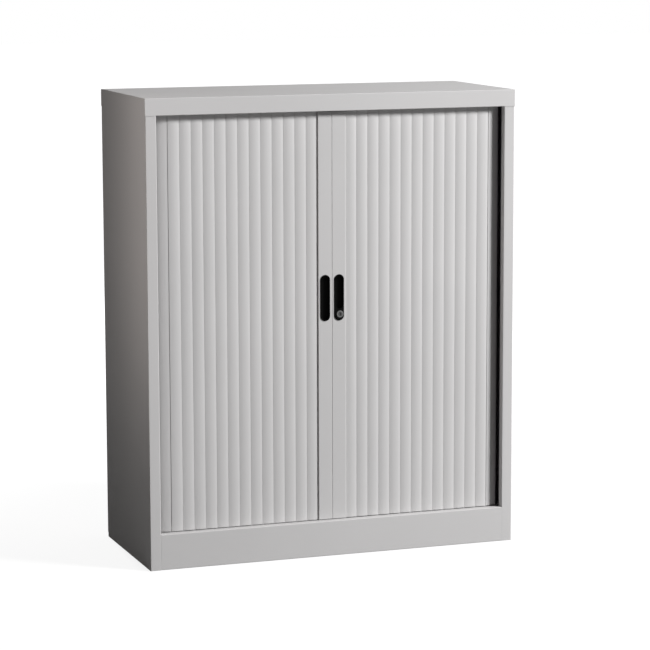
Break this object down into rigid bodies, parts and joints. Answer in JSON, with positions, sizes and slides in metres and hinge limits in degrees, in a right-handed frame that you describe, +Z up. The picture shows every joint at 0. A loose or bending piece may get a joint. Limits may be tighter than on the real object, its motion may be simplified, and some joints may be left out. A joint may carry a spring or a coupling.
{
  "type": "tambour-door storage cabinet",
  "caption": "Steel storage cabinet with two sideways-rolling slatted doors, recessed black handles, a cam lock, shelves and a plinth.",
  "frame": {"origin": "middle of the footprint on the floor", "axes": "+X to the right and +Y to the back as seen from the front, +Z up"},
  "size_m": [1, 0.42, 1.2],
  "materials": {
    "painted_steel": "light grey powder coat, fine satin texture",
    "slat_plastic": "light grey extruded plastic, satin",
    "painted_bar": "light grey painted aluminium, satin",
    "track_plastic": "grey moulded plastic",
    "black_plastic": "black moulded plastic, satin",
    "nickel": "nickel-plated die casting",
    "zinc_plate": "zinc-plated steel"
  },
  "bodies": {
    "carcass": {"top_cap": "painted_steel", "back_panel": "painted_steel", "plinth": "painted_steel", "base_panel": "painted_steel", "top_inner_panel": "painted_steel", "shelf_lower": "painted_steel", "shelf_upper": "painted_steel", "side_panel_left": "painted_steel", "side_liner_left": "painted_steel", "bottom_track_left": "track_plastic", "top_track_left": "track_plastic", "base_rail_left": "zinc_plate", "side_panel_right": "painted_steel", "side_liner_right": "painted_steel", "bottom_track_right": "track_plastic", "top_track_right": "track_plastic", "base_rail_right": "zinc_plate"},
    "door_left": {"lead_bar_left": "painted_bar", "handle_left": "black_plastic", "lock_keeper": "zinc_plate"},
    "door_right": {"lead_bar_right": "painted_bar", "handle_right": "black_plastic", "lock_barrel": "nickel"},
    "lock": {"lock_plug": "nickel", "lock_cam": "zinc_plate"},
    "slat_left_01": {"slat_left_01": "slat_plastic"},
    "slat_left_02": {"slat_left_02": "slat_plastic"},
    "slat_left_03": {"slat_left_03": "slat_plastic"},
    "slat_left_04": {"slat_left_04": "slat_plastic"},
    "slat_left_05": {"slat_left_05": "slat_plastic"},
    "slat_left_06": {"slat_left_06": "slat_plastic"},
    "slat_left_07": {"slat_left_07": "slat_plastic"},
    "slat_left_08": {"slat_left_08": "slat_plastic"},
    "slat_left_09": {"slat_left_09": "slat_plastic"},
    "slat_left_10": {"slat_left_10": "slat_plastic"},
    "slat_left_11": {"slat_left_11": "slat_plastic"},
    "slat_left_12": {"slat_left_12": "slat_plastic"},
    "slat_left_13": {"slat_left_13": "slat_plastic"},
    "slat_left_14": {"slat_left_14": "slat_plastic"},
    "slat_right_01": {"slat_right_01": "slat_plastic"},
    "slat_right_02": {"slat_right_02": "slat_plastic"},
    "slat_right_03": {"slat_right_03": "slat_plastic"},
    "slat_right_04": {"slat_right_04": "slat_plastic"},
    "slat_right_05": {"slat_right_05": "slat_plastic"},
    "slat_right_06": {"slat_right_06": "slat_plastic"},
    "slat_right_07": {"slat_right_07": "slat_plastic"},
    "slat_right_08": {"slat_right_08": "slat_plastic"},
    "slat_right_09": {"slat_right_09": "slat_plastic"},
    "slat_right_10": {"slat_right_10": "slat_plastic"},
    "slat_right_11": {"slat_right_11": "slat_plastic"},
    "slat_right_12": {"slat_right_12": "slat_plastic"},
    "slat_right_13": {"slat_right_13": "slat_plastic"},
    "slat_right_14": {"slat_right_14": "slat_plastic"},
    "levelling_foot_front_left": {"levelling_foot_front_left": "zinc_plate"},
    "levelling_foot_front_right": {"levelling_foot_front_right": "zinc_plate"},
    "levelling_foot_back_left": {"levelling_foot_back_left": "zinc_plate"},
    "levelling_foot_back_right": {"levelling_foot_back_right": "zinc_plate"}
  },
  "joints": [
    {"name": "door_left_slide", "type": "slide", "parent": "carcass", "child": "door_left", "axis": [-1, 0, 0], "range_m": [0, 0.38], "deforming": ["slat_left_01", "slat_left_02", "slat_left_03", "slat_left_04", "slat_left_05", "slat_left_06", "slat_left_07", "slat_left_08", "slat_left_09", "slat_left_10", "slat_left_11", "slat_left_12", "slat_left_13", "slat_left_14"]},
    {"name": "slat_left_01_slide", "type": "slide", "parent": "carcass", "child": "slat_left_01", "axis": [-1, 0, 0], "range_m": [0, 0.38]},
    {"name": "slat_left_02_slide", "type": "slide", "parent": "carcass", "child": "slat_left_02", "axis": [-1, 0, 0], "range_m": [0, 0.38]},
    {"name": "slat_left_03_slide", "type": "slide", "parent": "carcass", "child": "slat_left_03", "axis": [-0.996, 0.0889, 0], "range_m": [0, 0.36555]},
    {"name": "slat_left_04_slide", "type": "slide", "parent": "carcass", "child": "slat_left_04", "axis": [-0.9918, 0.1278, 0], "range_m": [0, 0.33636]},
    {"name": "slat_left_05_slide", "type": "slide", "parent": "carcass", "child": "slat_left_05", "axis": [-0.9848, 0.1738, 0], "range_m": [0, 0.30778]},
    {"name": "slat_left_06_slide", "type": "slide", "parent": "carcass", "child": "slat_left_06", "axis": [-0.9735, 0.2286, 0], "range_m": [0, 0.28001]},
    {"name": "slat_left_07_slide", "type": "slide", "parent": "carcass", "child": "slat_left_07", "axis": [-0.9558, 0.2941, 0], "range_m": [0, 0.2533]},
    {"name": "slat_left_08_slide", "type": "slide", "parent": "carcass", "child": "slat_left_08", "axis": [-0.9279, 0.3728, 0], "range_m": [0, 0.22803]},
    {"name": "slat_left_09_slide", "type": "slide", "parent": "carcass", "child": "slat_left_09", "axis": [-0.8845, 0.4665, 0], "range_m": [0, 0.20474]},
    {"name": "slat_left_10_slide", "type": "slide", "parent": "carcass", "child": "slat_left_10", "axis": [-0.8177, 0.5756, 0], "range_m": [0, 0.18416]},
    {"name": "slat_left_11_slide", "type": "slide", "parent": "carcass", "child": "slat_left_11", "axis": [-0.7178, 0.6963, 0], "range_m": [0, 0.16732]},
    {"name": "slat_left_12_slide", "type": "slide", "parent": "carcass", "child": "slat_left_12", "axis": [-0.5765, 0.8171, 0], "range_m": [0, 0.15543]},
    {"name": "slat_left_13_slide", "type": "slide", "parent": "carcass", "child": "slat_left_13", "axis": [-0.3949, 0.9187, 0], "range_m": [0, 0.14966]},
    {"name": "slat_left_14_slide", "type": "slide", "parent": "carcass", "child": "slat_left_14", "axis": [-0.1973, 0.9803, 0], "range_m": [0, 0.14722]},
    {"name": "door_right_slide", "type": "slide", "parent": "carcass", "child": "door_right", "axis": [1, 0, 0], "range_m": [0, 0.38], "deforming": ["slat_right_01", "slat_right_02", "slat_right_03", "slat_right_04", "slat_right_05", "slat_right_06", "slat_right_07", "slat_right_08", "slat_right_09", "slat_right_10", "slat_right_11", "slat_right_12", "slat_right_13", "slat_right_14"]},
    {"name": "slat_right_01_slide", "type": "slide", "parent": "carcass", "child": "slat_right_01", "axis": [1, 0, 0], "range_m": [0, 0.38]},
    {"name": "slat_right_02_slide", "type": "slide", "parent": "carcass", "child": "slat_right_02", "axis": [1, 0, 0], "range_m": [0, 0.38]},
    {"name": "slat_right_03_slide", "type": "slide", "parent": "carcass", "child": "slat_right_03", "axis": [0.996, 0.0889, 0], "range_m": [0, 0.36555]},
    {"name": "slat_right_04_slide", "type": "slide", "parent": "carcass", "child": "slat_right_04", "axis": [0.9918, 0.1278, 0], "range_m": [0, 0.33636]},
    {"name": "slat_right_05_slide", "type": "slide", "parent": "carcass", "child": "slat_right_05", "axis": [0.9848, 0.1738, 0], "range_m": [0, 0.30778]},
    {"name": "slat_right_06_slide", "type": "slide", "parent": "carcass", "child": "slat_right_06", "axis": [0.9735, 0.2286, 0], "range_m": [0, 0.28001]},
    {"name": "slat_right_07_slide", "type": "slide", "parent": "carcass", "child": "slat_right_07", "axis": [0.9558, 0.2941, 0], "range_m": [0, 0.2533]},
    {"name": "slat_right_08_slide", "type": "slide", "parent": "carcass", "child": "slat_right_08", "axis": [0.9279, 0.3728, 0], "range_m": [0, 0.22803]},
    {"name": "slat_right_09_slide", "type": "slide", "parent": "carcass", "child": "slat_right_09", "axis": [0.8845, 0.4665, 0], "range_m": [0, 0.20474]},
    {"name": "slat_right_10_slide", "type": "slide", "parent": "carcass", "child": "slat_right_10", "axis": [0.8177, 0.5756, 0], "range_m": [0, 0.18416]},
    {"name": "slat_right_11_slide", "type": "slide", "parent": "carcass", "child": "slat_right_11", "axis": [0.7178, 0.6963, 0], "range_m": [0, 0.16732]},
    {"name": "slat_right_12_slide", "type": "slide", "parent": "carcass", "child": "slat_right_12", "axis": [0.5765, 0.8171, 0], "range_m": [0, 0.15543]},
    {"name": "slat_right_13_slide", "type": "slide", "parent": "carcass", "child": "slat_right_13", "axis": [0.3949, 0.9187, 0], "range_m": [0, 0.14966]},
    {"name": "slat_right_14_slide", "type": "slide", "parent": "carcass", "child": "slat_right_14", "axis": [0.1973, 0.9803, 0], "range_m": [0, 0.14722]},
    {"name": "lock_turn", "type": "hinge", "parent": "door_right", "child": "lock", "pos_m": [0.0205, -0.17, 0.632], "axis": [0, 1, 0], "range_deg": [0, 90]},
    {"name": "levelling_foot_front_left_screw", "type": "slide", "parent": "carcass", "child": "levelling_foot_front_left", "axis": [0, 0, -1], "range_m": [0, 0.012]},
    {"name": "levelling_foot_front_right_screw", "type": "slide", "parent": "carcass", "child": "levelling_foot_front_right", "axis": [0, 0, -1], "range_m": [0, 0.012]},
    {"name": "levelling_foot_back_left_screw", "type": "slide", "parent": "carcass", "child": "levelling_foot_back_left", "axis": [0, 0, -1], "range_m": [0, 0.012]},
    {"name": "levelling_foot_back_right_screw", "type": "slide", "parent": "carcass", "child": "levelling_foot_back_right", "axis": [0, 0, -1], "range_m": [0, 0.012]}
  ],
  "couplings": [
    {"joint": "slat_left_01_slide", "follows": "door_left_slide", "ratio": 1},
    {"joint": "slat_left_02_slide", "follows": "door_left_slide", "ratio": 1},
    {"joint": "slat_left_03_slide", "follows": "door_left_slide", "ratio": 0.96197},
    {"joint": "slat_left_04_slide", "follows": "door_left_slide", "ratio": 0.88516},
    {"joint": "slat_left_05_slide", "follows": "door_left_slide", "ratio": 0.80996},
    {"joint": "slat_left_06_slide", "follows": "door_left_slide", "ratio": 0.73687},
    {"joint": "slat_left_07_slide", "follows": "door_left_slide", "ratio": 0.66659},
    {"joint": "slat_left_08_slide", "follows": "door_left_slide", "ratio": 0.60009},
    {"joint": "slat_left_09_slide", "follows": "door_left_slide", "ratio": 0.53878},
    {"joint": "slat_left_10_slide", "follows": "door_left_slide", "ratio": 0.48464},
    {"joint": "slat_left_11_slide", "follows": "door_left_slide", "ratio": 0.44032},
    {"joint": "slat_left_12_slide", "follows": "door_left_slide", "ratio": 0.40902},
    {"joint": "slat_left_13_slide", "follows": "door_left_slide", "ratio": 0.39385},
    {"joint": "slat_left_14_slide", "follows": "door_left_slide", "ratio": 0.38742},
    {"joint": "slat_right_01_slide", "follows": "door_right_slide", "ratio": 1},
    {"joint": "slat_right_02_slide", "follows": "door_right_slide", "ratio": 1},
    {"joint": "slat_right_03_slide", "follows": "door_right_slide", "ratio": 0.96197},
    {"joint": "slat_right_04_slide", "follows": "door_right_slide", "ratio": 0.88516},
    {"joint": "slat_right_05_slide", "follows": "door_right_slide", "ratio": 0.80996},
    {"joint": "slat_right_06_slide", "follows": "door_right_slide", "ratio": 0.73687},
    {"joint": "slat_right_07_slide", "follows": "door_right_slide", "ratio": 0.66659},
    {"joint": "slat_right_08_slide", "follows": "door_right_slide", "ratio": 0.60009},
    {"joint": "slat_right_09_slide", "follows": "door_right_slide", "ratio": 0.53878},
    {"joint": "slat_right_10_slide", "follows": "door_right_slide", "ratio": 0.48464},
    {"joint": "slat_right_11_slide", "follows": "door_right_slide", "ratio": 0.44032},
    {"joint": "slat_right_12_slide", "follows": "door_right_slide", "ratio": 0.40902},
    {"joint": "slat_right_13_slide", "follows": "door_right_slide", "ratio": 0.39385},
    {"joint": "slat_right_14_slide", "follows": "door_right_slide", "ratio": 0.38742}
  ]
}
